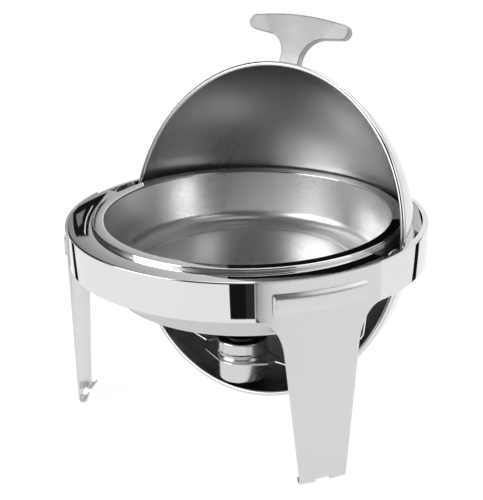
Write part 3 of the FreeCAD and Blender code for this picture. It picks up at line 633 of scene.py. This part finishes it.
def backdrop():
    """A white wall all round the floor, there only for the camera."""
    bm = bmesh.new()
    bmesh.ops.create_cone(bm, cap_ends=False, radius1=8.9, radius2=8.9, depth=9.0, segments=96)
    mesh = bpy.data.meshes.new("studio_backdrop")
    bm.to_mesh(mesh)
    bm.free()
    mesh.transform(Matrix.Translation((0, 0, 4.4)))
    mesh.materials.append(plain_material("backdrop_white", (0.16, 0.16, 0.16), 0.9, 0.97))
    obj = bpy.data.objects.new("studio_backdrop", mesh)
    bpy.context.scene.collection.objects.link(obj)
    obj.visible_glossy = False
    obj.visible_diffuse = False
    obj.visible_shadow = False


def card(name, azimuth, distance, outline, colour=0.01, glow=0.0):
    """An upright card facing the object, seen only in its reflections; outline is (across, height) points."""
    a = math.radians(azimuth)
    centre = Vector((math.cos(a), math.sin(a), 0)) * distance
    along = Vector((-math.sin(a), math.cos(a), 0))
    mesh = bpy.data.meshes.new(name)
    corners = [(*(centre + along * across).xy, height) for across, height in outline]
    mesh.from_pydata(corners, [], [tuple(range(len(corners)))])
    mesh.materials.append(plain_material(name + "_paint", (colour,) * 3, 0.9, glow))
    obj = bpy.data.objects.new(name, mesh)
    bpy.context.scene.collection.objects.link(obj)
    obj.visible_camera = False
    obj.visible_diffuse = False
    obj.visible_shadow = False


def panel(width, low, high, aside=0.0):
    """The outline of a rectangular card."""
    half = width / 2
    return [(aside - half, low), (aside + half, low), (aside + half, high), (aside - half, high)]


def softbox(name, azimuth, elevation, distance, size, power):
    data = bpy.data.lights.new(name, "AREA")
    data.shape = "RECTANGLE"
    data.size, data.size_y = size
    data.energy = power
    obj = bpy.data.objects.new(name, data)
    bpy.context.scene.collection.objects.link(obj)
    a, e = math.radians(azimuth), math.radians(elevation)
    spot = Vector((math.cos(a) * math.cos(e), math.sin(a) * math.cos(e), math.sin(e))) * distance
    spot.z += 0.2
    obj.location = spot
    obj.rotation_euler = (Vector((0, 0, 0.2)) - spot).to_track_quat("-Z", "Y").to_euler()
    obj.visible_camera = False


def world():
    """Pale surroundings, darker above the horizon on the camera's side and toward the left."""
    scene_world = bpy.data.worlds.new("studio")
    bpy.context.scene.world = scene_world
    scene_world.use_nodes = True
    nodes, links = scene_world.node_tree.nodes, scene_world.node_tree.links
    background = nodes["Background"]
    where = nodes.new("ShaderNodeTexCoord")
    light = []
    # Each dark side: its azimuth, how far it is raised, where the fade starts and ends, and its strength
    for azimuth, rise, near, far, dark in ((300.0, 0.35, 0.05, 0.58, 0.10), (174.0, 0.30, 0.70, 0.96, 0.05)):
        toward = nodes.new("ShaderNodeVectorMath")
        toward.operation = "DOT_PRODUCT"
        a = math.radians(azimuth)
        toward.inputs[1].default_value = (math.cos(a), math.sin(a), rise)
        links.new(where.outputs["Generated"], toward.inputs[0])
        fade = nodes.new("ShaderNodeMapRange")
        fade.interpolation_type = "SMOOTHSTEP"
        fade.inputs["From Min"].default_value = near
        fade.inputs["From Max"].default_value = far
        fade.inputs["To Min"].default_value = 1.0
        fade.inputs["To Max"].default_value = dark
        links.new(toward.outputs["Value"], fade.inputs["Value"])
        light.append(fade.outputs["Result"])
    both = nodes.new("ShaderNodeMath")
    both.operation = "MULTIPLY"
    links.new(light[0], both.inputs[0])
    links.new(light[1], both.inputs[1])
    links.new(both.outputs[0], background.inputs["Strength"])
    background.inputs["Color"].default_value = (1.0, 1.0, 1.0, 1)


floor()
backdrop()
world()

# Dark stripes mirrored in the band, patches in the deck's back left, and the dark front right of the deck
card("card_front_wide", 303.0, 0.60, panel(0.085, 0.0, 0.30))
card("card_front_narrow", 310.5, 0.60, panel(0.074, 0.0, 0.30), 0.035)
# The dark card hung over the pan, inside the chafer where nothing stands, is seen only in reflections and paints
# the dark band on the deck's front right: painted shade standing in for the shaded edge and underside of the food
# pan's flange mirrored in the deck.
card("card_over_pan_painted_shade", 127.0, -0.03, [
    (-0.195, 0.262), (0.026, 0.290), (0.026, 0.345), (-0.12, 0.345), (-0.195, 0.295)])
card("card_left_gap", 188.0, 0.55, panel(0.065, 0.0, 0.30))
card("card_right_gap", 57.5, 0.556, panel(0.06, 0.0, 0.30))
card("card_rear_dark", 134.0, 0.50, [(0.186, 0.36), (0.255, 0.38), (0.252, 0.462), (0.212, 0.452), (0.190, 0.40)])
card("card_rear_grey", 134.0, 0.49, [(0.222, 0.395), (0.246, 0.40), (0.238, 0.432), (0.226, 0.425)], 0.10, 0.15)
card("card_rear_line", 134.0, 0.48, [(0.206, 0.392), (0.222, 0.441), (0.219, 0.443), (0.203, 0.394)], 0.5, 0.45)
softbox("softbox_top", 60.0, 76.0, 1.9, (1.5, 1.5), 14.0)
softbox("softbox_left", 242.0, 27.0, 1.9, (1.3, 1.0), 14.0)
softbox("softbox_right", 2.0, 30.0, 1.9, (1.4, 1.2), 6.0)
bpy.context.scene.view_settings.view_transform = "Standard"
